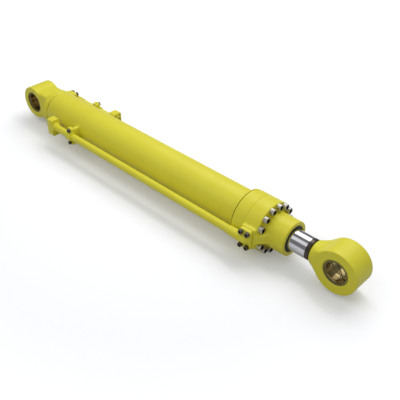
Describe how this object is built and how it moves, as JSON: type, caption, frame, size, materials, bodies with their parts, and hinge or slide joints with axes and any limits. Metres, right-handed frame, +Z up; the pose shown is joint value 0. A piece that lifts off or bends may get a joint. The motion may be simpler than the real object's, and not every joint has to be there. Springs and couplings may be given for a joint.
{
  "type": "hydraulic cylinder",
  "caption": "Double-acting hydraulic cylinder with pin eyes at both ends, a bolted head, a sliding chromed rod and oil pipes along the barrel.",
  "frame": {"origin": "centre of the cap-end pin bore", "axes": "+X along the cylinder towards the rod eye, +Y along the pin bores, +Z up; the long rod-side pipe runs on the -Y side"},
  "size_m": [1.82, 0.264, 0.194],
  "materials": {
    "yellow_paint": "satin",
    "black_oxide": "oiled black oxide",
    "bronze": "machined",
    "bare_steel": "machined",
    "chrome": "ground and polished",
    "rubber": "matte",
    "seal_polymer": "smooth"
  },
  "bodies": {
    "barrel": {"barrel_tube": "yellow_paint", "tube_flange": "yellow_paint", "cap_end": "yellow_paint", "cap_eye_bush": "bronze", "cap_eye_dust_seals": "rubber", "cap_grease_nipple": "bare_steel", "cylinder_head": "yellow_paint", "head_screws": "black_oxide", "head_o_ring": "rubber", "head_backup_ring": "seal_polymer", "rod_bush": "bronze", "buffer_seal": "seal_polymer", "rod_seal": "seal_polymer", "rod_wiper": "rubber", "cap_port_elbow": "yellow_paint", "cap_port_o_ring": "rubber", "cap_port_screws": "black_oxide", "cap_pipe": "yellow_paint", "cap_hose_flange": "yellow_paint", "cap_clamp_base": "yellow_paint", "cap_clamp_saddle": "yellow_paint", "cap_clamp_screws": "black_oxide", "rod_port_elbow": "yellow_paint", "rod_port_o_ring": "rubber", "rod_port_screws": "black_oxide", "rod_pipe": "yellow_paint", "rod_hose_flange": "yellow_paint", "rod_clamp_base": "yellow_paint", "rod_clamp_saddle": "yellow_paint", "rod_clamp_screws": "black_oxide"},
    "piston_seals": {"piston_seal": "seal_polymer", "piston_wear_rings": "seal_polymer"},
    "rod": {"piston_rod": "chrome", "rod_eye": "yellow_paint", "rod_eye_bush": "bronze", "rod_eye_dust_seals": "rubber", "rod_grease_nipple": "bare_steel", "piston": "bare_steel", "piston_nut": "bare_steel", "nut_set_screw": "black_oxide", "piston_o_ring": "rubber"}
  },
  "joints": [
    {"name": "rod_slide", "type": "slide", "parent": "barrel", "child": "piston_seals", "axis": [1, 0, 0], "range_m": [0, 0.98]},
    {"name": "rod_turn", "type": "hinge", "parent": "piston_seals", "child": "rod", "pos_m": [0.2, 0, 0], "axis": [1, 0, 0], "continuous": true}
  ]
}
